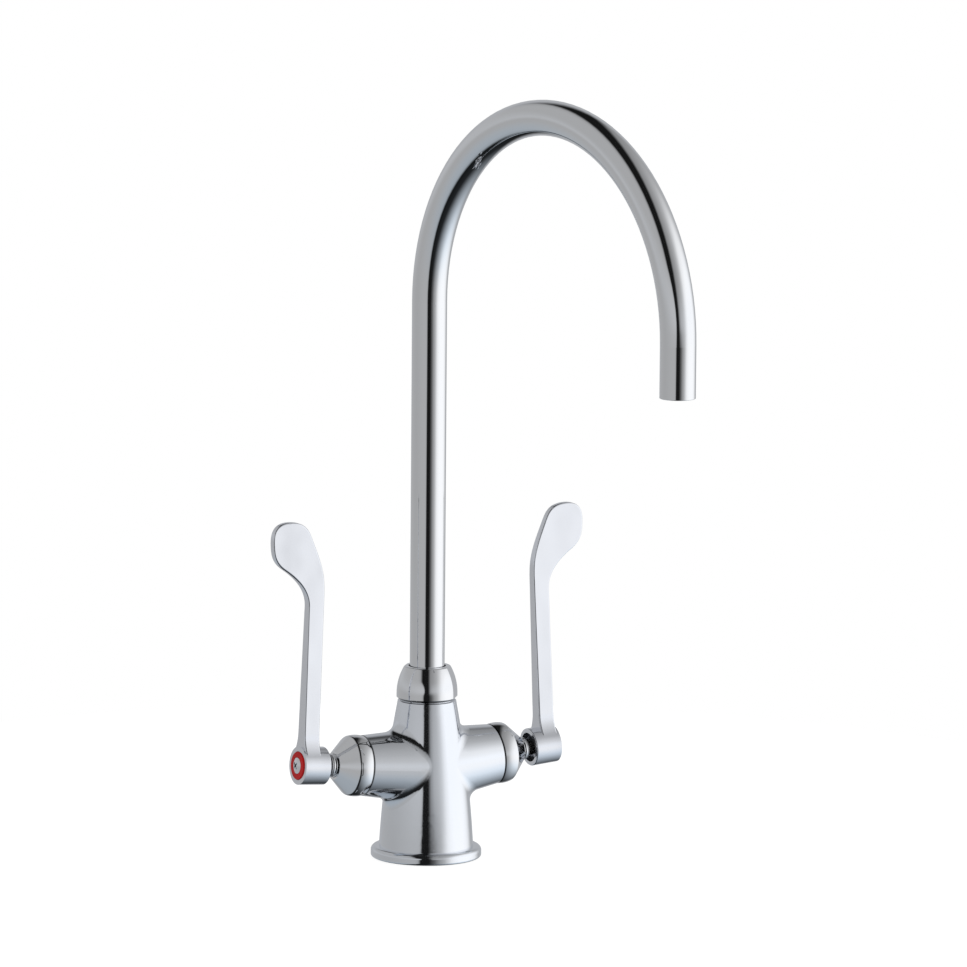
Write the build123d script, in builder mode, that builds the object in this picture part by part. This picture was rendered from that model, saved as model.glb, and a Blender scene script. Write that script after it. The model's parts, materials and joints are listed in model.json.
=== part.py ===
from build123d import *
from math import cos, radians, sin, tan
import os

# Gooseneck mixer tap with two wrist-blade levers, in millimetres. The origin is the middle of
# the base's underside, on the deck. +Z is up, the user stands at -Y, hot is at -X, cold at +X.

# Gooseneck tube
tube_diameter = 22.2
tube_wall = 1.2
arc_radius = 127.0
arc_start_height = 357.0
outlet_length = 32.5
outlet_edge_radius = 0.4
spout_swing = 8.8

# Cast body
flange_lip = 5.2
flange_height = 7.0
flange_top_radius = 3.0
flange_bottom_radius = 1.5
column_foot_radius = 30.1
column_bulge = 1.6
rim_radius = 18.5
rim_height = 101.5
rim_chamfer = 0.6
valve_drop = 43.0
valve_tilt = 4.5
arm_end = 47.2
arm_end_radius = 19.2
arm_root_inset = 0.965
arm_end_chamfer = 0.5
arm_fillet_share = 0.43

# Passages and recess inside the body
recess_radius = 22.0
recess_depth = 20.0
inlet_spacing = 22.0
inlet_thread_radius = 4.5
inlet_thread_depth = 12.0
supply_radius = 3.5
stud_spacing = 30.0
stud_hole_radius = 3.4
stud_hole_depth = 12.0
chamber_radius = 11.0
chamber_sump = 3.1
outlet_port_radius = 2.4
outlet_port_rise = 12.0
gasket_inner_radius = 24.4
gasket_outer_radius = 30.6
gasket_thickness = 1.8

# Fits
thread_clearance = 0.1
running_clearance = 0.06
static_clearance = 0.15
face_clearance = 0.1
braze_gap = 0.05
match_tolerance = 0.005

# Spout swivel
sleeve_radius = 12.5
sleeve_bore_radius = 8.6
sleeve_plug_length = 13.0
tube_seat_depth = 6.0
shoulder_radius = 13.5
shoulder_height = 2.2
socket_radius = 14.2
socket_depth = 13.5
washer_thickness = 1.0
spout_ring_section = 1.9
spout_ring_spacing = 4.0
spout_ring_rise = 2.2

# Spout nut, a dome with two spanner flats
nut_height = 21.7
nut_radius = 19.5
nut_top_radius = 14.8
nut_flat_inset = 1.0
nut_flat_turn = 50.0
nut_wall_height = 4.0
nut_bottom_chamfer = 1.9
nut_top_edge_radius = 1.2
nut_tube_clearance = 0.8

# Valve cartridge, with distances along the valve axis from the middle of the body
seat_distance = 21.0
port_radius = 3.8
cartridge_radius = 12.8
cage_radius = 11.0
cage_length = 15.0
disc_radius = 9.4
disc_thickness = 3.0
disc_window_inner = 2.6
disc_window_outer = 7.6
disc_window_angle = 76.0
seat_seal_thickness = 2.0
seat_seal_width = 1.7
side_window_radius = 2.4
lug_length = 2.0
lug_width = 3.0
lug_depth = 1.7
cartridge_flange = 38.0
cartridge_flange_thickness = 3.0
cartridge_flange_radius = 15.0
flange_seal_section = 1.8
nose_radius = 7.4
nose_end = 69.6
nose_groove_depth = 0.9
nose_groove_width = 1.0
nose_groove_inset = 1.0
bonnet_socket_radius = 15.6

# Bonnet, a round belt and a cone
belt_radius = 19.6
belt_end_radius = 18.9
belt_length = 9.4
bonnet_shoulder_radius = 3.0
bonnet_end = 66.8
bonnet_end_radius = 8.9
bonnet_edge_radius = 0.5

# Stem
stem_radius = 5.0
stem_end = 88.0
stem_square = 7.0
driver_thickness = 2.4
stem_ring_section = 1.6
inner_stem_ring = 48.0
outer_stem_ring = 58.0
clip_thickness = 1.0
clip_radius = 7.0
clip_groove_depth = 0.8

# Wrist-blade lever, with distances along the valve axis and rises at right angles to it
hub_start = 74.0
hub_end = 92.0
hub_radius = 12.1
hub_edge_radius = 0.8
hub_recess_radius = 9.4
hub_web_start = 80.5
boss_radius = 5.0
boss_end = 91.0
index_floor = 89.6
index_radius = 9.0
index_rise = 0.8
blade_foot_inner = 80.0
blade_foot_outer = 90.6
blade_foot_rise = 21.0
blade_flare_angle = 37.0
blade_neck_inner = 83.4
blade_neck_outer = 94.4
blade_neck_rise = 101.0
blade_back_low = (84.9, 121.0)
blade_back_high = (94.6, 144.6)
blade_top = (109.5, 155.1)
blade_nose = (121.9, 139.0)
blade_underside = (112.6, 124.6)
blade_heel = (98.3, 112.6)
blade_lip_angle = 30.0
blade_foot_thickness = 9.6
blade_tip_thickness = 4.4
blade_edge_radius = 0.9
blade_overrun = 1.0

# Handle screw
screw_head_radius = 5.1
screw_head_height = 3.0
screw_head_dome = 1.2
screw_radius = 2.5
screw_length = 13.0
screw_tip_relief = 1.0
cross_width = 1.1
cross_length = 5.2
cross_depth = 1.6

tube_radius = tube_diameter / 2
flange_radius = column_foot_radius + flange_lip
valve_height = rim_height - valve_drop
drop_share = valve_drop / (rim_height - flange_height)
column_slope = (column_foot_radius - rim_radius) * drop_share
column_swell = 4 * column_bulge * drop_share * (1 - drop_share)
arm_root_radius = rim_radius + column_slope + column_swell - arm_root_inset
arm_fillet = arm_fillet_share * (valve_drop - arm_root_radius)
socket_ledge = rim_height - socket_depth
shoulder_base = socket_ledge + washer_thickness + face_clearance
sleeve_bottom = shoulder_base - sleeve_plug_length
sleeve_top = shoulder_base + shoulder_height
tube_foot = sleeve_top - tube_seat_depth
chamber_top = sleeve_bottom - face_clearance
chamber_floor = valve_height + outlet_port_rise - outlet_port_radius - chamber_sump
swivel_bore_radius = sleeve_radius + running_clearance
washer_bore_radius = sleeve_radius + static_clearance
spout_groove_depth = spout_ring_section + running_clearance
lower_ring_height = sleeve_bottom + spout_ring_rise
spout_ring_heights = (lower_ring_height, lower_ring_height + spout_ring_spacing)
washer_stack = sleeve_top - socket_ledge + washer_thickness + face_clearance
nut_thread_length = socket_depth - washer_stack - face_clearance
bonnet_seat = cartridge_flange + cartridge_flange_thickness
disc_face = seat_distance + seat_seal_thickness
disc_gap = disc_face + disc_thickness
moving_face = disc_gap + face_clearance
driver_face = moving_face + disc_thickness + face_clearance
driver_end = driver_face + driver_thickness
driver_radius = disc_radius - face_clearance
cage_end = seat_distance + cage_length
square_start = hub_web_start - face_clearance
clip_middle = nose_end + face_clearance + clip_thickness / 2
bonnet_thread_radius = bonnet_socket_radius - thread_clearance
groove_middle = bonnet_end + nose_groove_inset + nose_groove_width / 2
hub_touch = (hub_radius * cos(radians(blade_flare_angle)),
             hub_radius * sin(radians(blade_flare_angle)))
cavity_radius = disc_radius + static_clearance
stem_bore_radius = stem_radius + running_clearance
neck_plane = Plane((0, 0, 0), x_dir=(sin(radians(spout_swing)), -cos(radians(spout_swing)), 0),
                   z_dir=(-cos(radians(spout_swing)), -sin(radians(spout_swing)), 0))
valve_bore_radius = cartridge_radius + static_clearance
vertical = Axis.Z


def valve_point(sign, distance, rise=0.0):
    along = distance * cos(radians(valve_tilt)) - rise * sin(radians(valve_tilt))
    up = distance * sin(radians(valve_tilt)) + rise * cos(radians(valve_tilt))
    return Vector(sign * along, 0, valve_height + up)


def valve_direction(sign):
    return valve_point(sign, arm_end) - valve_point(sign, 0.0)


def valve_axis(sign):
    return Axis(valve_point(sign, 0.0), valve_direction(sign))


def profile_plane(sign):
    # x runs outwards along the valve axis and y rises from it
    return Plane(valve_point(sign, 0.0), x_dir=valve_direction(sign), z_dir=(0, -sign, 0))


def cross_plane(sign, distance):
    # square to the valve axis, with y up and the normal outwards
    return Plane(valve_point(sign, distance), x_dir=(0, sign, 0), z_dir=valve_direction(sign))


def write(piece, label):
    piece.part.label = label
    export_step(piece.part, f"parts/{label}.step")


def circles(builder, radius):
    round_edges = builder.edges().filter_by(GeomType.CIRCLE)
    return round_edges.filter_by(lambda edge: abs(edge.radius - radius) < match_tolerance)


os.makedirs("parts", exist_ok=True)

# Window shared by both ceramic discs and the driver plate
with BuildSketch() as window:
    Circle(disc_window_outer)
    Circle(disc_window_inner, mode=Mode.SUBTRACT)
    reach = 2 * disc_window_outer
    spread = reach * tan(radians(disc_window_angle / 2))
    Polygon((0, 0), (reach, -spread), (reach, spread), align=None, mode=Mode.INTERSECT)

# The body: flange, waisted column and two tapering arms, cast in one piece
with BuildPart() as body:
    with BuildSketch(Plane.YZ):
        with BuildLine():
            foot = Vector(column_foot_radius, flange_height)
            rim = Vector(rim_radius, rim_height)
            Polyline(rim, (0, rim_height), (0, 0), (flange_radius, 0),
                     (flange_radius, flange_height), foot)
            ThreePointArc(foot, (foot + rim) / 2 + Vector(column_bulge, 0), rim)
        make_face()
    revolve(axis=vertical)
    fillet(circles(body, flange_radius).sort_by(vertical)[-1], flange_top_radius)
    fillet(circles(body, flange_radius).sort_by(vertical)[0], flange_bottom_radius)
    for sign in (-1, 1):
        with BuildSketch(cross_plane(sign, 0)):
            Circle(arm_root_radius)
        with BuildSketch(cross_plane(sign, arm_end)):
            Circle(arm_end_radius)
        loft()
    fillet(edges().filter_by(GeomType.BSPLINE), arm_fillet)
    chamfer(circles(body, arm_end_radius), arm_end_chamfer)
    chamfer(circles(body, rim_radius), rim_chamfer)

    # recess in the foot, with the supply threads and the stud holes in its ceiling
    with BuildSketch(Plane.XY):
        Circle(recess_radius)
    extrude(amount=recess_depth, mode=Mode.SUBTRACT)
    with BuildSketch(Plane.XY):
        Circle(gasket_outer_radius + static_clearance)
        Circle(gasket_inner_radius - static_clearance, mode=Mode.SUBTRACT)
    extrude(amount=gasket_thickness, mode=Mode.SUBTRACT)
    with BuildSketch(Plane.XY.offset(recess_depth)):
        with GridLocations(inlet_spacing, 0, 2, 1):
            Circle(inlet_thread_radius)
    extrude(amount=inlet_thread_depth, mode=Mode.SUBTRACT)
    with BuildSketch(Plane.XY.offset(recess_depth)):
        with GridLocations(0, stud_spacing, 1, 2):
            Circle(stud_hole_radius)
    extrude(amount=stud_hole_depth, mode=Mode.SUBTRACT)
    with BuildSketch(Plane.XY.offset(recess_depth)):
        with GridLocations(inlet_spacing, 0, 2, 1):
            Circle(supply_radius)
    extrude(amount=valve_point(1, inlet_spacing / 2).Z - recess_depth, mode=Mode.SUBTRACT)

    # spout socket: nut thread, swivel bore and mixing chamber, bored from the rim down
    with BuildSketch(Plane.YZ):
        Polygon((0, rim_height), (socket_radius, rim_height), (socket_radius, socket_ledge),
                (swivel_bore_radius, socket_ledge), (swivel_bore_radius, chamber_top),
                (chamber_radius, chamber_top), (chamber_radius, chamber_floor),
                (0, chamber_floor), align=None)
    revolve(axis=vertical, mode=Mode.SUBTRACT)

    # each arm: bonnet thread, cartridge bore, seat port and the port to the mixing chamber
    for sign in (-1, 1):
        with BuildSketch(profile_plane(sign)):
            Polygon((arm_end, 0), (arm_end, bonnet_socket_radius),
                    (cartridge_flange, bonnet_socket_radius),
                    (cartridge_flange, valve_bore_radius),
                    (seat_distance, valve_bore_radius), (seat_distance, port_radius),
                    (inlet_spacing / 2, port_radius), (inlet_spacing / 2, 0), align=None)
        revolve(axis=valve_axis(sign), mode=Mode.SUBTRACT)
        with BuildSketch(cross_plane(sign, seat_distance + static_clearance)):
            with Locations((0, outlet_port_rise)):
                Circle(outlet_port_radius)
        extrude(amount=-(seat_distance - chamber_radius / 2), mode=Mode.SUBTRACT)
write(body, "body")

with BuildPart() as base_gasket:
    with BuildSketch(Plane.XY):
        Circle(gasket_outer_radius)
        Circle(gasket_inner_radius, mode=Mode.SUBTRACT)
    extrude(amount=gasket_thickness)
write(base_gasket, "base_gasket")

# The gooseneck: riser, half circle and a short straight outlet, swung a little to the cold side
with BuildPart() as spout_tube:
    with BuildLine(neck_plane) as neck_line:
        riser = Line((0, tube_foot), (0, arc_start_height))
        crook = CenterArc((arc_radius, arc_start_height), arc_radius, 180, -180)
        Line(crook @ 1, (2 * arc_radius, arc_start_height - outlet_length))
    with BuildSketch(Plane.XY.offset(tube_foot)):
        Circle(tube_radius)
        Circle(tube_radius - tube_wall, mode=Mode.SUBTRACT)
    sweep(path=neck_line.wire())
    outlet_face = faces().filter_by(GeomType.PLANE).sort_by(vertical)[-1]
    fillet(outlet_face.edges(), outlet_edge_radius)
write(spout_tube, "spout_tube")

# Sleeve brazed to the foot of the tube, with a shoulder that turns between two washers
with BuildPart() as spout_sleeve:
    with BuildSketch(Plane.YZ):
        Polygon((sleeve_bore_radius, sleeve_bottom), (sleeve_radius, sleeve_bottom),
                (sleeve_radius, shoulder_base), (shoulder_radius, shoulder_base),
                (shoulder_radius, sleeve_top), (tube_radius + braze_gap, sleeve_top),
                (tube_radius + braze_gap, tube_foot), (sleeve_bore_radius, tube_foot),
                align=None)
        with Locations(*[(sleeve_radius, height) for height in spout_ring_heights]):
            Rectangle(2 * spout_groove_depth, spout_ring_section + 2 * face_clearance,
                      mode=Mode.SUBTRACT)
    revolve(axis=vertical)
write(spout_sleeve, "spout_sleeve")

for name, height in zip(("lower", "upper"), spout_ring_heights):
    with BuildPart() as spout_ring:
        with BuildSketch(Plane.YZ):
            with Locations((sleeve_radius - spout_ring_section / 2, height)):
                Circle(spout_ring_section / 2)
        revolve(axis=vertical)
    write(spout_ring, f"{name}_spout_ring")

for name, low in (("lower", socket_ledge), ("upper", sleeve_top + face_clearance)):
    with BuildPart() as swivel_washer:
        with BuildSketch(Plane.XY.offset(low)):
            Circle(socket_radius - static_clearance)
            Circle(washer_bore_radius, mode=Mode.SUBTRACT)
        extrude(amount=washer_thickness)
    write(swivel_washer, f"{name}_swivel_washer")

# Spout nut: a turned dome crossed with a narrower arch for its flats, over a threaded spigot
with BuildPart() as spout_nut:
    nut_top = rim_height + nut_height
    for plane, inset in ((Plane.YZ, 0), (Plane.YZ.rotated((0, 0, nut_flat_turn)), nut_flat_inset)):
        with BuildSketch(plane):
            with BuildLine():
                side = nut_radius - inset
                wall = Line((side, rim_height + nut_bottom_chamfer),
                            (side, rim_height + nut_wall_height))
                TangentArc(wall @ 1, (nut_top_radius - inset, nut_top), tangent=(0, 1))
                Polyline((nut_top_radius - inset, nut_top), (0, nut_top), (0, rim_height),
                         (side - nut_bottom_chamfer, rim_height), wall @ 0)
            make_face()
            if inset:
                mirror(about=Plane.YZ)
        if inset:
            extrude(amount=nut_radius, both=True, mode=Mode.INTERSECT)
        else:
            revolve(axis=vertical)
            fillet(circles(spout_nut, nut_top_radius), nut_top_edge_radius)
    with BuildSketch(Plane.XY.offset(rim_height)):
        Circle(socket_radius - thread_clearance)
    extrude(amount=-nut_thread_length)
    with BuildSketch(Plane.XY.offset(nut_top)):
        Circle(tube_radius + nut_tube_clearance)
    extrude(amount=-(nut_height + nut_thread_length), mode=Mode.SUBTRACT)
write(spout_nut, "spout_nut")


# Everything on one valve axis, hot and cold alike
for sign, side in ((-1, "hot"), (1, "cold")):
    axis = valve_axis(sign)
    section = profile_plane(sign)

    # bonnet: a round belt and a cone with a rounded shoulder, over a threaded spigot
    with BuildPart() as bonnet:
        with BuildSketch(section):
            with BuildLine():
                start = Vector(arm_end + face_clearance, belt_radius - arm_end_chamfer)
                belt_end = Vector(arm_end + belt_length, belt_end_radius)
                nose = Vector(bonnet_end, bonnet_end_radius)
                belt_middle = Vector((start.X + belt_end.X) / 2, belt_radius)
                ThreePointArc(start, belt_middle, belt_end)
                Polyline(belt_end, nose, (bonnet_end, nose_radius + static_clearance),
                         (bonnet_seat, nose_radius + static_clearance),
                         (bonnet_seat, bonnet_thread_radius), (start.X, bonnet_thread_radius),
                         start)
            make_face()
        revolve(axis=axis)
        fillet(circles(bonnet, belt_end_radius), bonnet_shoulder_radius)
        fillet(circles(bonnet, bonnet_end_radius), bonnet_edge_radius)
    write(bonnet, f"{side}_bonnet")

    # cartridge: a cage round the discs, a guide in the arm and a grooved nose
    with BuildPart() as cartridge:
        with BuildSketch(section):
            Polygon((seat_distance + face_clearance, cavity_radius),
                    (seat_distance + face_clearance, cage_radius), (cage_end, cage_radius),
                    (cage_end, cartridge_radius), (cartridge_flange, cartridge_radius),
                    (cartridge_flange, cartridge_flange_radius),
                    (bonnet_seat - face_clearance, cartridge_flange_radius),
                    (bonnet_seat - face_clearance, nose_radius), (nose_end, nose_radius),
                    (nose_end, stem_bore_radius), (cage_end, stem_bore_radius),
                    (cage_end, cavity_radius), align=None)
            with Locations((groove_middle, nose_radius)):
                Rectangle(nose_groove_width, 2 * nose_groove_depth, mode=Mode.SUBTRACT)
            with Locations((cage_end + flange_seal_section, cartridge_radius)):
                Rectangle(flange_seal_section + face_clearance, 2 * flange_seal_section,
                          mode=Mode.SUBTRACT)
        revolve(axis=axis)
        with BuildSketch(cross_plane(sign, cage_end)):
            Rectangle(2 * cartridge_radius, 2 * side_window_radius)
        extrude(amount=-(cage_end - driver_face), mode=Mode.SUBTRACT)
    write(cartridge, f"{side}_cartridge")

    with BuildPart() as flange_seal:
        with BuildSketch(section):
            with Locations((cage_end + flange_seal_section,
                            valve_bore_radius - face_clearance - flange_seal_section / 2)):
                Circle(flange_seal_section / 2)
        revolve(axis=axis)
    write(flange_seal, f"{side}_cartridge_seal")

    with BuildPart() as seat_seal:
        with BuildSketch(cross_plane(sign, seat_distance)):
            Circle(disc_radius)
            Circle(disc_radius - seat_seal_width, mode=Mode.SUBTRACT)
        extrude(amount=seat_seal_thickness)
    write(seat_seal, f"{side}_seat_seal")

    # two ceramic discs, whose windows stand crossed while the valve is shut
    for label, low, turn in (("fixed_disc", disc_face, 0), ("moving_disc", moving_face, 90)):
        with BuildPart() as disc:
            with BuildSketch(cross_plane(sign, low)):
                Circle(disc_radius)
                with PolarLocations(0, 2, start_angle=turn):
                    add(window.sketch, mode=Mode.SUBTRACT)
                if label == "moving_disc":
                    with PolarLocations(disc_radius, 2):
                        Rectangle(2 * lug_depth, lug_width + face_clearance, mode=Mode.SUBTRACT)
            extrude(amount=disc_thickness)
        write(disc, f"{side}_{label}")

    # stem: a driver plate with two lugs in the moving disc, a shaft and a square end
    with BuildPart() as stem:
        with BuildSketch(cross_plane(sign, driver_face)):
            Circle(driver_radius)
            with PolarLocations(0, 2, start_angle=90):
                add(window.sketch, mode=Mode.SUBTRACT)
        extrude(amount=driver_thickness)
        with BuildSketch(cross_plane(sign, driver_face)):
            with PolarLocations(driver_radius - lug_depth / 2, 2):
                Rectangle(lug_depth - 2 * static_clearance, lug_width - face_clearance)
        extrude(amount=-lug_length)
        with BuildSketch(section):
            Polygon((driver_face, 0), (driver_face, disc_window_inner),
                    (driver_end, disc_window_inner), (driver_end, stem_radius),
                    (square_start, stem_radius), (square_start, 0), align=None)
            for distance in (inner_stem_ring, outer_stem_ring):
                with Locations((distance, stem_radius)):
                    Rectangle(stem_ring_section + face_clearance, 2 * stem_ring_section,
                              mode=Mode.SUBTRACT)
            with Locations((clip_middle, stem_radius)):
                Rectangle(clip_thickness + face_clearance, 2 * clip_groove_depth,
                          mode=Mode.SUBTRACT)
        revolve(axis=axis)
        with BuildSketch(cross_plane(sign, square_start)):
            Rectangle(stem_square, stem_square)
        extrude(amount=stem_end - square_start)
        with BuildSketch(cross_plane(sign, stem_end)):
            Circle(screw_radius + thread_clearance)
        extrude(amount=boss_end - stem_end - screw_length - screw_tip_relief, mode=Mode.SUBTRACT)
    write(stem, f"{side}_stem")

    with BuildPart() as stem_rings:
        with BuildSketch(section):
            for distance in (inner_stem_ring, outer_stem_ring):
                with Locations((distance, stem_radius - stem_ring_section / 2)):
                    Circle(stem_ring_section / 2)
        revolve(axis=axis)
    write(stem_rings, f"{side}_stem_rings")

    with BuildPart() as stem_clip:
        with BuildSketch(cross_plane(sign, clip_middle - clip_thickness / 2)):
            Circle(clip_radius)
            Circle(stem_radius - clip_groove_depth + face_clearance, mode=Mode.SUBTRACT)
            with Locations((0, -clip_radius)):
                Rectangle(stem_radius, 2 * clip_radius, mode=Mode.SUBTRACT)
        extrude(amount=clip_thickness)
    write(stem_clip, f"{side}_stem_clip")

    # lever: the wrist blade is its face outline crossed with its edge-on outline
    with BuildPart() as lever:
        with BuildSketch(section):
            with BuildLine():
                inner_side = Line((blade_foot_inner, 0), (blade_neck_inner, blade_neck_rise))
                outer_side = Line((blade_neck_outer, blade_neck_rise), (blade_foot_outer, 0))
                lip_turn = (-cos(radians(blade_lip_angle)), -sin(radians(blade_lip_angle)))
                Spline(inner_side @ 1, blade_back_low, blade_back_high, blade_top,
                       tangents=(inner_side % 1, (1, 0)))
                Spline(blade_top, blade_nose, blade_underside, tangents=((1, 0), lip_turn))
                Spline(blade_underside, blade_heel, outer_side @ 0,
                       tangents=(lip_turn, outer_side % 0))
                Line(outer_side @ 1, inner_side @ 0)
            make_face()
        extrude(amount=hub_radius, both=True)
        with BuildSketch(cross_plane(sign, 0)):
            with BuildLine():
                blade_limit = blade_top[1] + blade_overrun
                flank = Line((blade_tip_thickness / 2, blade_limit),
                             (blade_foot_thickness / 2, blade_foot_rise))
                flare = TangentArc(flank @ 1, hub_touch, tangent=flank % 1)
                Polyline(flare @ 1, (0, 0), (0, blade_limit), flank @ 0)
            make_face()
            mirror(about=Plane.YZ)
        extrude(amount=blade_nose[0] + blade_overrun, both=True, mode=Mode.INTERSECT)
        corners = edges().filter_by(Axis.Y, reverse=True).filter_by(
            lambda edge: section.to_local_coords(edge.center()).Y > blade_foot_rise
            and abs(edge.center().Y) > blade_tip_thickness / 4)
        fillet(corners, blade_edge_radius)
        with BuildSketch(section):
            Polygon((hub_start, 0), (hub_start, hub_radius), (hub_end, hub_radius), (hub_end, 0),
                    align=None)
        revolve(axis=axis)
        fillet(circles(lever, hub_radius).group_by(axis)[0], hub_edge_radius)
        with BuildSketch(section):
            Polygon((hub_start, 0), (hub_start, hub_recess_radius),
                    (hub_web_start, hub_recess_radius), (hub_web_start, 0), align=None)
            Polygon((hub_end, 0), (hub_end, index_radius + static_clearance),
                    (index_floor, index_radius + static_clearance), (index_floor, boss_radius),
                    (boss_end, boss_radius), (boss_end, 0), align=None)
        revolve(axis=axis, mode=Mode.SUBTRACT)
        with BuildSketch(cross_plane(sign, hub_web_start)):
            Rectangle(stem_square + 2 * face_clearance, stem_square + 2 * face_clearance)
        extrude(amount=stem_end + face_clearance - hub_web_start, mode=Mode.SUBTRACT)
        with BuildSketch(cross_plane(sign, stem_end)):
            Circle(screw_radius + static_clearance)
        extrude(amount=hub_end - stem_end, mode=Mode.SUBTRACT)
    write(lever, f"{side}_lever")

    with BuildPart() as index_ring:
        with BuildSketch(cross_plane(sign, index_floor)):
            Circle(index_radius)
            Circle(screw_head_radius + static_clearance, mode=Mode.SUBTRACT)
        extrude(amount=hub_end + index_rise - index_floor)
        fillet(circles(index_ring, index_radius).sort_by(axis)[-1], index_rise)
    write(index_ring, f"{side}_index_ring")

    # screw: a domed head with a cross recess
    with BuildPart() as lever_screw:
        with BuildSketch(section):
            with BuildLine():
                edge_height = boss_end + screw_head_height - screw_head_dome
                crown = (boss_end + screw_head_height, 0)
                rim = (edge_height, screw_head_radius)
                bulge = (boss_end + screw_head_height - screw_head_dome / 4,
                         screw_head_radius / 2)
                ThreePointArc(crown, bulge, rim)
                Polyline(rim, (boss_end, screw_head_radius), (boss_end, screw_radius),
                         (boss_end - screw_length, screw_radius), (boss_end - screw_length, 0),
                         crown)
            make_face()
        revolve(axis=axis)
        with BuildSketch(cross_plane(sign, boss_end + screw_head_height)):
            Rectangle(cross_length, cross_width, rotation=45)
            Rectangle(cross_width, cross_length, rotation=45)
        extrude(amount=-cross_depth, mode=Mode.SUBTRACT)
    write(lever_screw, f"{side}_lever_screw")
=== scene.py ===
import bpy
import json
from math import cos, pi, radians, sin
from mathutils import Matrix, Vector


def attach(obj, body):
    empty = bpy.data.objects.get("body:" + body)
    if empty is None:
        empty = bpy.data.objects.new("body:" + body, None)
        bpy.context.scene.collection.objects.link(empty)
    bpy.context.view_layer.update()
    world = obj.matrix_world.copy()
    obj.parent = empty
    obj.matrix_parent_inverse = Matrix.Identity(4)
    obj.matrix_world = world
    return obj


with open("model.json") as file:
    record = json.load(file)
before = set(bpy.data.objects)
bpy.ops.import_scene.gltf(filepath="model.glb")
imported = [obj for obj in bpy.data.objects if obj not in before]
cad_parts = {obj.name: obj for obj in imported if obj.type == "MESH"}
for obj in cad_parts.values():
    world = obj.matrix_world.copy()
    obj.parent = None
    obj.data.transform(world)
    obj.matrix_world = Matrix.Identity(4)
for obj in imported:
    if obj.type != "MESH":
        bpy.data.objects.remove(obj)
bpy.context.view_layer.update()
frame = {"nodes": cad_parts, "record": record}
nodes = frame["nodes"]
print("frame loaded:", len(nodes), "nodes")

# the photograph's viewpoint: metres and degrees, turned from the front towards the hot side
view = {
    "target": Vector((0, 0, 0.250)),
    "turn": 27.65,
    "rise": 8.54,
    "roll": 0.38,
    "distance": 5.008,
    "lens": 294.1,
    "shift": (0.0569, -0.0158),
    "clipEnd": 50,
}


# one socket of a material or world, with the maths operators that the trees use
class Signal:
    def __init__(self, tree, socket):
        self.tree = tree
        self.socket = socket

    def math(self, operation, *values):
        return self.tree.node("ShaderNodeMath", {"operation": operation}, dict(enumerate((self, *values))))

    def __add__(self, other):
        return self.math("ADD", other)

    def __sub__(self, other):
        return self.math("SUBTRACT", other)

    def __rsub__(self, other):
        return self.math("MULTIPLY", -1) + other

    def __mul__(self, other):
        return self.math("MULTIPLY", other)

    def __truediv__(self, other):
        return self.math("DIVIDE", other)


# a node tree that adds nodes with their settings first and then their inputs
class Tree:
    def __init__(self, owner):
        owner.use_nodes = True
        self.tree = owner.node_tree
        self.tree.nodes.clear()

    def node(self, kind, settings=None, inputs=None, output=0):
        made = self.tree.nodes.new(kind)
        for name, value in (settings or {}).items():
            if name == "stops":
                self.setStops(made.color_ramp, value)
            else:
                setattr(made, name, value)
        for name, value in (inputs or {}).items():
            if isinstance(value, Signal):
                self.tree.links.new(value.socket, made.inputs[name])
            else:
                made.inputs[name].default_value = value
        return Signal(self, made.outputs[output]) if len(made.outputs) else made

    def along(self, vector, axis):
        return self.node("ShaderNodeVectorMath", {"operation": "DOT_PRODUCT"}, {0: vector, 1: axis},
                         output="Value")

    def fade(self, value, low, high):
        return self.node("ShaderNodeMapRange", {"interpolation_type": "SMOOTHSTEP"},
                         {"Value": value, "From Min": low, "From Max": high})

    # the mix node's colour sockets share their names with its other types, so they go by place
    def mix(self, factor, first, second):
        return self.node("ShaderNodeMix", {"data_type": "RGBA"}, {0: factor, 6: first, 7: second}, output=2)

    def setStops(self, ramp, stops):
        while len(ramp.elements) < len(stops):
            ramp.elements.new(1.0)
        for element, (place, colour) in zip(ramp.elements, stops):
            element.position = place
            element.color = (*colour, 1.0)


def makeCamera():
    turn = radians(view["turn"])
    rise = radians(view["rise"])
    roll = radians(view["roll"])
    back = Vector((-sin(turn) * cos(rise), -cos(turn) * cos(rise), sin(rise)))
    side = Vector((cos(turn), -sin(turn), 0))
    up = back.cross(side)
    right = cos(roll) * side + sin(roll) * up
    upright = -sin(roll) * side + cos(roll) * up
    data = bpy.data.cameras.new("photoCamera")
    data.lens = view["lens"]
    data.shift_x, data.shift_y = view["shift"]
    data.clip_end = view["clipEnd"]
    camera = bpy.data.objects.new("photoCamera", data)
    place = Matrix((right, upright, back)).transposed().to_4x4()
    place.translation = view["target"] + view["distance"] * back
    camera.matrix_world = place
    bpy.context.scene.collection.objects.link(camera)
    bpy.context.scene.camera = camera


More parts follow.
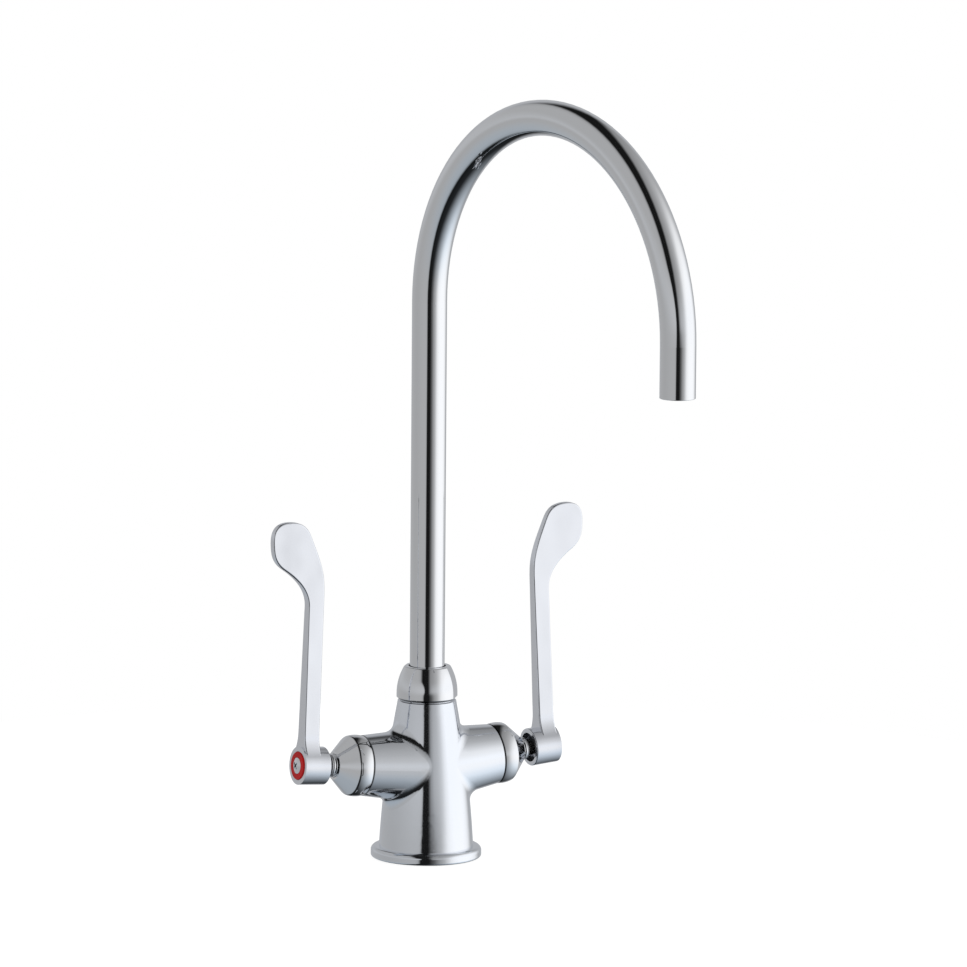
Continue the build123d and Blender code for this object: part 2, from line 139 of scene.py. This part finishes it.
# what the polished metal sees: cards on both sides of a dark gap that runs from behind the camera
# over the top and under it, by the degrees that a reflection leans to the hot (-) or cold (+) side,
# at four heights from straight down (-1) to straight up (1); a larger spread narrows the gap's hot
# half. Behind the faucet the metal sees a plain grey rear, and matt surfaces get the fill
studio = {
    "hotCard": [(-90, 0.92), (-40, 1.0), (-22, 1.0), (-16, 0.88), (-11, 0.02)],
    "rings": [
        {"height": -0.80, "spread": 0.55, "hot": 0.45, "tint": (0.90, 1.0, 1.10),
         "coldCard": [(3, 0.02), (10, 0.07), (14, 0.12), (22, 0.24), (32, 0.42), (42, 0.66), (52, 0.92),
                      (67, 1.10), (90, 1.15)]},
        {"height": -0.15, "spread": 1.0, "hot": 0.46, "tint": (0.99, 1.0, 1.015),
         "coldCard": [(7, 0.01), (12, 0.055), (18, 0.12), (28, 0.32), (38, 0.48), (47, 0.74), (54, 0.96),
                      (63, 1.08), (75, 1.15), (90, 1.15)]},
        {"height": 0.06, "spread": 1.5, "hot": 0.56, "tint": (0.98, 1.0, 1.03),
         "coldCard": [(5, 0.01), (9, 0.14), (13, 0.32), (22, 0.47), (34, 0.56), (44, 0.70), (55, 0.96),
                      (66, 1.12), (90, 1.12)]},
        {"height": 0.40, "spread": 0.62, "hot": 0.45, "tint": (0.99, 1.0, 1.015),
         "coldCard": [(4, 0.01), (8, 0.10), (13, 0.28), (26, 0.37), (38, 0.49), (47, 0.68), (57, 0.95),
                      (72, 1.12), (90, 1.15)]},
    ],
    "rear": (0.46, 0.47, 0.49),
    "rearFade": (0.68, 0.92),
    "backdrop": (1.0, 1.0, 1.0),
    "fill": 0.62,
}


def makeStudio():
    bpy.context.scene.view_settings.view_transform = "Standard"
    world = bpy.data.worlds.new("studio")
    bpy.context.scene.world = world
    tree = Tree(world)
    turn = radians(view["turn"])
    direction = tree.node("ShaderNodeTexCoord", output="Generated")
    aside = tree.along(direction, (cos(turn), -sin(turn), 0))
    behind = tree.along(direction, (sin(turn), cos(turn), 0))
    height = tree.along(direction, (0, 0, 1))
    lean = aside.math("ARCSINE") / pi
    rings = studio["rings"]
    lifts = [tree.fade(height, lower["height"], ring["height"]) for lower, ring in zip(rings, rings[1:])]
    spread = rings[0]["spread"]
    for lift, lower, ring in zip(lifts, rings, rings[1:]):
        spread = lift * (ring["spread"] - lower["spread"]) + spread
    lean = lean.math("MINIMUM", 0) * spread + lean.math("MAXIMUM", 0) + 0.5
    around = None
    for lift, ring in zip([None] + lifts, rings):
        hotCard = [(degrees, level * ring["hot"]) for degrees, level in studio["hotCard"]]
        stops = [(degrees / 180 + 0.5, [level * part for part in ring["tint"]])
                 for degrees, level in hotCard + ring["coldCard"]]
        cards = tree.node("ShaderNodeValToRGB", {"stops": stops}, {0: lean})
        around = tree.mix(lift, around, cards) if lift else cards
    around = tree.mix(tree.fade(behind, *studio["rearFade"]), around, (*studio["rear"], 1))
    seen = tree.node("ShaderNodeLightPath", output="Is Camera Ray")
    glossy = tree.node("ShaderNodeLightPath", output="Is Glossy Ray")
    fill = tree.node("ShaderNodeBackground", inputs={0: (*studio["backdrop"], 1), 1: studio["fill"]})
    white = tree.node("ShaderNodeBackground", inputs={0: (*studio["backdrop"], 1), 1: 1.0})
    mirrored = tree.node("ShaderNodeBackground", inputs={0: around, 1: 1.0})
    base = tree.node("ShaderNodeMixShader", inputs={0: glossy, 1: fill, 2: mirrored})
    final = tree.node("ShaderNodeMixShader", inputs={0: seen, 1: base, 2: white})
    tree.node("ShaderNodeOutputWorld", inputs={0: final})


# the floor lies a hair under the flange and is clear from below
floorLook = {"radius": 0.55, "drop": 0.0006, "sides": 64, "colour": (0.82, 0.82, 0.83), "glow": 1.25,
             "glowShare": 0.7}


def makeFloor():
    radius = floorLook["radius"]
    turns = [2 * pi * step / floorLook["sides"] for step in range(floorLook["sides"])]
    rim = [(radius * cos(turn), radius * sin(turn), -floorLook["drop"]) for turn in turns]
    mesh = bpy.data.meshes.new("floor")
    mesh.from_pydata(rim, [], [range(len(rim))])
    floor = bpy.data.objects.new("floor", mesh)
    bpy.context.scene.collection.objects.link(floor)
    material = bpy.data.materials.new("paleFloor")
    tree = Tree(material)
    matt = tree.node("ShaderNodeBsdfDiffuse", inputs={0: (*floorLook["colour"], 1)})
    white = tree.node("ShaderNodeEmission", inputs={0: (1, 1, 1, 1), 1: floorLook["glow"]})
    seen = tree.node("ShaderNodeLightPath", output="Is Camera Ray")
    top = tree.node("ShaderNodeMixShader", inputs={0: seen * floorLook["glowShare"], 1: matt, 2: white})
    below = tree.node("ShaderNodeNewGeometry", output="Backfacing")
    clear = tree.node("ShaderNodeBsdfTransparent")
    final = tree.node("ShaderNodeMixShader", inputs={0: below, 1: top, 2: clear})
    tree.node("ShaderNodeOutputMaterial", inputs={0: final})
    mesh.materials.append(material)
    floor.visible_glossy = False


# soft square lamps in metres and watts, all aimed at one point on the riser
lamps = {
    "key": {"place": (1.6, -1.3, 1.5), "size": 1.4, "power": 22},
    "rim": {"place": (-1.7, -0.4, 1.3), "size": 1.2, "power": 9},
}
lampTarget = Vector((0, 0, 0.2))


def makeLamps():
    for name, lamp in lamps.items():
        data = bpy.data.lights.new(name, "AREA")
        data.size = lamp["size"]
        data.energy = lamp["power"]
        light = bpy.data.objects.new(name, data)
        light.location = lamp["place"]
        aim = lampTarget - light.location
        light.rotation_euler = aim.to_track_quat("-Z", "Y").to_euler()
        light.visible_glossy = False
        bpy.context.scene.collection.objects.link(light)


def surface(tree, inputs):
    shader = tree.node("ShaderNodeBsdfPrincipled", inputs=inputs)
    tree.node("ShaderNodeOutputMaterial", inputs={0: shader})


def noise(tree, place, scale, detail=2.0):
    return tree.node("ShaderNodeTexNoise", inputs={"Vector": place, "Scale": scale, "Detail": detail})


def bump(tree, height, strength, distance):
    return tree.node("ShaderNodeBump",
                     inputs={"Height": height, "Strength": strength, "Distance": distance})


# what all the chrome shares: scales per metre, how far hairlines are drawn out along the height,
# and the noise levels between which a mark comes in
plate = {"hazeScale": 35.0, "hazeDetail": 4.0, "hazeDepth": 0.04, "hairScale": 2200.0, "hairDrawn": 0.06,
         "hairLevels": (0.60, 0.78), "grainScale": 1400.0, "grainLevels": (0.40, 0.70)}

# roughness of each plated finish, its slow waves, hairline marks, a cast part's satin grain and whether
# painted shade is laid along its joints
polishedChrome = {"colour": (0.83, 0.836, 0.85), "roughness": 0.035, "ripple": 0.05, "waves": 90.0,
                  "waveHeight": 0.0002, "hairlines": 0.03, "satin": 0.0, "jointShadePainted": False}
castChrome = {"colour": (0.82, 0.84, 0.875), "roughness": 0.05, "ripple": 0.06, "waves": 90.0,
              "waveHeight": 0.0002, "hairlines": 0.02, "satin": 0.06, "jointShadePainted": True}
bladeChrome = {"colour": (0.83, 0.845, 0.885), "roughness": 0.07, "ripple": 0.5, "waves": 18.0,
               "waveHeight": 0.003, "hairlines": 0.03, "satin": 0.04, "jointShadePainted": False}


# painted shade: dark hairlines painted into the chrome where the bonnets meet the arms and the nut meets
# the rim, standing in for the shade in those joints, in metres and degrees
paintedJointShade = {"valveHeight": 0.0585, "valveTilt": 4.5, "armEnd": 0.0473, "rim": 0.1026, "core": 0.0003,
          "edge": 0.0009, "shade": 0.10}


# a mask that is one along the bonnet and nut joints, where the chrome gets painted shade
def paintedJointShadeMask(tree, place):
    tilt = radians(paintedJointShade["valveTilt"])
    reach = tree.along(place, (1, 0, 0)).math("ABSOLUTE") * cos(tilt)
    rise = (tree.along(place, (0, 0, 1)) - paintedJointShade["valveHeight"]) * sin(tilt)
    fromArm = (reach + rise - paintedJointShade["armEnd"]).math("ABSOLUTE")
    fromRim = (tree.along(place, (0, 0, 1)) - paintedJointShade["rim"]).math("ABSOLUTE")
    return 1 - tree.fade(fromArm.math("MINIMUM", fromRim), paintedJointShade["core"], paintedJointShade["edge"])


def makeChrome(name, look):
    material = bpy.data.materials.new(name)
    tree = Tree(material)
    place = tree.node("ShaderNodeTexCoord", output="Object")
    drawn = tree.node("ShaderNodeMapping", inputs={"Vector": place, "Scale": (1, 1, plate["hairDrawn"])})
    haze = noise(tree, place, plate["hazeScale"], plate["hazeDetail"])
    hairlines = tree.fade(noise(tree, drawn, plate["hairScale"]), *plate["hairLevels"])
    grain = tree.fade(noise(tree, place, plate["grainScale"]), *plate["grainLevels"])
    marks = haze * plate["hazeDepth"] + hairlines * look["hairlines"] + grain * look["satin"]
    roughness = marks + (look["roughness"] - plate["hazeDepth"] / 2)
    normal = bump(tree, noise(tree, place, look["waves"]), look["ripple"], look["waveHeight"])
    colour = (*look["colour"], 1)
    # painted shade: the chrome's colour is darkened along the joints, where shade falls between the parts
    if look["jointShadePainted"]:
        paintedShade = [paintedJointShade["shade"] * part for part in look["colour"]]
        colour = tree.mix(paintedJointShadeMask(tree, place), colour, (*paintedShade, 1))
    surface(tree, {"Base Color": colour, "Metallic": 1.0, "Roughness": roughness, "Normal": normal})
    return material


# finishes by material slot: grain and turned lines are scales per metre, and a part with no turned
# lines has a moulded skin
plainLooks = {
    "stem_nickel": {"colour": (0.42, 0.41, 0.40), "metal": 1.0, "gloss": 0.5, "roughness": 0.25,
                    "grain": 900, "turned": 1100},
    "brass": {"colour": (0.62, 0.44, 0.20), "metal": 1.0, "gloss": 0.5, "roughness": 0.28,
              "grain": 700, "turned": 900},
    "seal_rubber": {"colour": (0.02, 0.02, 0.022), "metal": 0.0, "gloss": 0.5, "roughness": 0.6,
                    "grain": 1500, "turned": 0},
    "washer_plastic": {"colour": (0.80, 0.79, 0.76), "metal": 0.0, "gloss": 0.5, "roughness": 0.45,
                       "grain": 800, "turned": 0},
    "ceramic": {"colour": (0.86, 0.86, 0.84), "metal": 0.0, "gloss": 0.5, "roughness": 0.2,
                "grain": 2500, "turned": 0},
    "clip_steel": {"colour": (0.5, 0.5, 0.51), "metal": 1.0, "gloss": 0.5, "roughness": 0.3,
                   "grain": 1200, "turned": 1400},
    "index_red": {"colour": (0.45, 0.004, 0.005), "metal": 0.0, "gloss": 0.2, "roughness": 0.5,
                  "grain": 900, "turned": 0},
    "index_blue": {"colour": (0.010, 0.04, 0.30), "metal": 0.0, "gloss": 0.2, "roughness": 0.5,
                   "grain": 900, "turned": 0},
}

# what they share: worn clouds so many times coarser than the grain, between two noise levels, how
# far the turned lines waver and count in the relief, and how deep relief and roughness go
skin = {"coarser": 12, "cloudDetail": 3.0, "cloudLevels": (0.3, 0.7), "worn": 0.8, "waver": 0.6,
        "lineShare": 0.6, "relief": 0.15, "reliefHeight": 0.0001, "grainDepth": 0.12, "cloudDepth": 0.06}


def makePlain(name, look):
    material = bpy.data.materials.new(name)
    tree = Tree(material)
    place = tree.node("ShaderNodeTexCoord", output="Object")
    grain = noise(tree, place, look["grain"])
    cloud = noise(tree, place, look["grain"] / skin["coarser"], skin["cloudDetail"])
    worn = [skin["worn"] * part for part in look["colour"]]
    colour = tree.mix(tree.fade(cloud, *skin["cloudLevels"]), (*worn, 1), (*look["colour"], 1))
    relief = grain
    if look["turned"]:
        lines = tree.node("ShaderNodeTexWave", {"wave_type": "BANDS", "bands_direction": "Z"},
                          {"Vector": place, "Scale": look["turned"], "Distortion": skin["waver"]}, output=1)
        relief = lines * skin["lineShare"] + grain * (1 - skin["lineShare"])
    marks = grain * skin["grainDepth"] + cloud * skin["cloudDepth"]
    roughness = marks + (look["roughness"] - (skin["grainDepth"] + skin["cloudDepth"]) / 2)
    normal = bump(tree, relief, skin["relief"], skin["reliefHeight"])
    surface(tree, {"Base Color": colour, "Metallic": look["metal"], "Specular IOR Level": look["gloss"],
                   "Roughness": roughness, "Normal": normal})
    return material


# body, levers, nut and bonnets have a chrome of their own, and the rest goes by its material slot
def dressNodes():
    chrome = makeChrome("polishedChrome", polishedChrome)
    finishes = {"body": makeChrome("castChrome", castChrome)}
    finishes["hot_lever"] = finishes["cold_lever"] = makeChrome("bladeChrome", bladeChrome)
    # the nut and bonnets get polished chrome with painted shade along their joints
    jointShadePainted = makeChrome("jointShadePaintedChrome", {**polishedChrome, "jointShadePainted": True})
    finishes["spout_nut"] = finishes["hot_bonnet"] = finishes["cold_bonnet"] = jointShadePainted
    looks = {name: makePlain(name, look) for name, look in plainLooks.items()}
    slots = {part["node"]: part["material_slot"] for part in frame["record"]["subparts"]}
    for name, node in nodes.items():
        node.data.materials.clear()
        node.data.materials.append(finishes.get(name, looks.get(slots[name], chrome)))
    return looks


# the cut threads up inside the base: hole places and sizes in metres
threads = {
    "inletThreads": {"holes": [(-0.011, 0, 0.0205), (0.011, 0, 0.0205)], "radius": 0.0045, "pitch": 0.001,
                     "length": 0.011, "depth": 0.00042},
    "studThreads": {"holes": [(0, -0.015, 0.0205), (0, 0.015, 0.0205)], "radius": 0.0034, "pitch": 0.00125,
                    "length": 0.011, "depth": 0.0005},
}
threadSteps = {"turn": 36, "ridge": 4}


# a four-sided ridge swept along a spiral, put in every hole
def makeThreadTree(material):
    tree = bpy.data.node_groups.new("cutThread", "GeometryNodeTree")
    tree.interface.new_socket("Holes", in_out="INPUT", socket_type="NodeSocketGeometry")
    for size in ("Radius", "Length", "Turns", "Depth"):
        tree.interface.new_socket(size, in_out="INPUT", socket_type="NodeSocketFloat")
    tree.interface.new_socket("Threads", in_out="OUTPUT", socket_type="NodeSocketGeometry")
    given = tree.nodes.new("NodeGroupInput").outputs
    helix = tree.nodes.new("GeometryNodeCurveSpiral")
    helix.inputs["Resolution"].default_value = threadSteps["turn"]
    tree.links.new(given["Radius"], helix.inputs["Start Radius"])
    tree.links.new(given["Radius"], helix.inputs["End Radius"])
    tree.links.new(given["Length"], helix.inputs["Height"])
    tree.links.new(given["Turns"], helix.inputs["Rotations"])
    ridge = tree.nodes.new("GeometryNodeCurvePrimitiveCircle")
    ridge.inputs["Resolution"].default_value = threadSteps["ridge"]
    tree.links.new(given["Depth"], ridge.inputs["Radius"])
    sweep = tree.nodes.new("GeometryNodeCurveToMesh")
    sweep.inputs["Fill Caps"].default_value = True
    tree.links.new(helix.outputs[0], sweep.inputs["Curve"])
    tree.links.new(ridge.outputs[0], sweep.inputs["Profile Curve"])
    spread = tree.nodes.new("GeometryNodeInstanceOnPoints")
    tree.links.new(given["Holes"], spread.inputs["Points"])
    tree.links.new(sweep.outputs[0], spread.inputs["Instance"])
    real = tree.nodes.new("GeometryNodeRealizeInstances")
    tree.links.new(spread.outputs[0], real.inputs[0])
    dressed = tree.nodes.new("GeometryNodeSetMaterial")
    dressed.inputs["Material"].default_value = material
    tree.links.new(real.outputs[0], dressed.inputs["Geometry"])
    tree.links.new(dressed.outputs[0], tree.nodes.new("NodeGroupOutput").inputs[0])
    return tree


def makeThreads(material):
    tree = makeThreadTree(material)
    sockets = {item.name: item.identifier for item in tree.interface.items_tree if item.in_out == "INPUT"}
    for name, thread in threads.items():
        mesh = bpy.data.meshes.new(name)
        mesh.from_pydata(thread["holes"], [], [])
        piece = bpy.data.objects.new(name, mesh)
        bpy.context.scene.collection.objects.link(piece)
        grower = piece.modifiers.new("cutThread", "NODES")
        grower.node_group = tree
        sizes = {"Radius": thread["radius"], "Length": thread["length"], "Depth": thread["depth"],
                 "Turns": thread["length"] / thread["pitch"]}
        for size, value in sizes.items():
            grower[sockets[size]] = value
        grown = piece.evaluated_get(bpy.context.evaluated_depsgraph_get())
        piece.data = bpy.data.meshes.new_from_object(grown)
        piece.modifiers.clear()
        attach(piece, "faucet_body")


makeCamera()
makeStudio()
makeFloor()
makeLamps()
print("stage, lamps and camera made")
looks = dressNodes()
print("nodes dressed")
makeThreads(looks["brass"])
print("threads cut")

bpy.context.view_layer.update()
